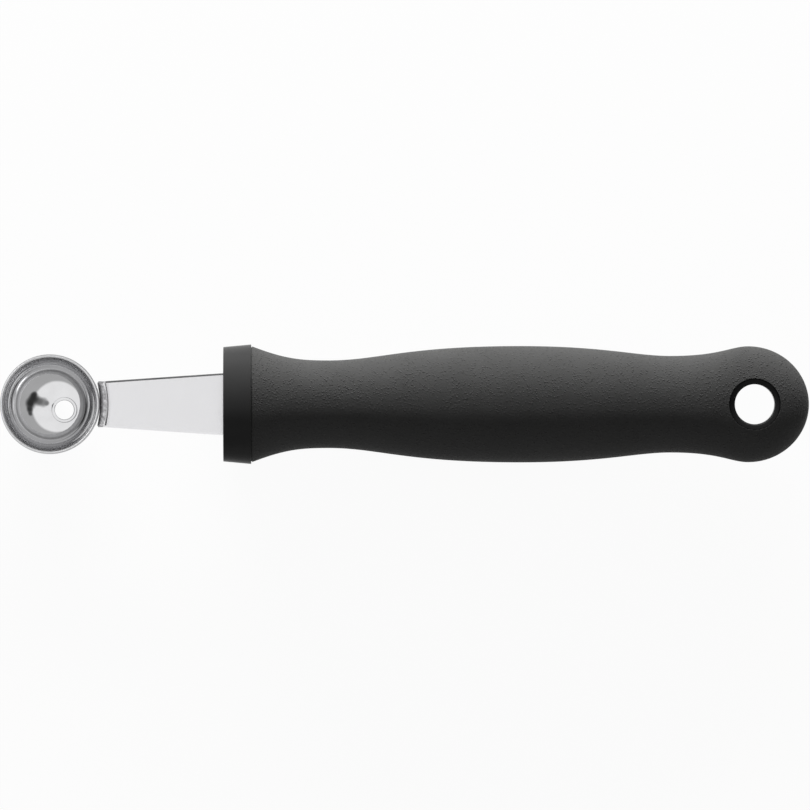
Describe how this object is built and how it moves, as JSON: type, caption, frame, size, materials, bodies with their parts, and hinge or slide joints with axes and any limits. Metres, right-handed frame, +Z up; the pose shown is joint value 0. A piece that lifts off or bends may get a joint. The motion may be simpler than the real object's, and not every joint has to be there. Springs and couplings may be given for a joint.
{
  "type": "fruit corer",
  "caption": "Hand-held fruit corer: round steel scoop with a vent hole on a flat steel shank, gloss black collar, and a waisted black grip over a hard core that lines the hang hole.",
  "frame": {"origin": "under the middle of the tool, on the surface that it lies on", "axes": "+X along the handle from the scoop to the hang hole, +Y across it, +Z up out of the scoop's mouth"},
  "size_m": [0.18, 0.0266, 0.0208],
  "materials": {
    "scoop_steel": "polished",
    "shank_steel": "satin",
    "collar_plastic": "gloss",
    "core_plastic": "gloss",
    "grip_rubber": "matte"
  },
  "bodies": {
    "root": {"scoop_cup": "scoop_steel", "shank": "shank_steel", "collar": "collar_plastic", "handle_core": "core_plastic", "grip": "grip_rubber"}
  },
  "joints": []
}
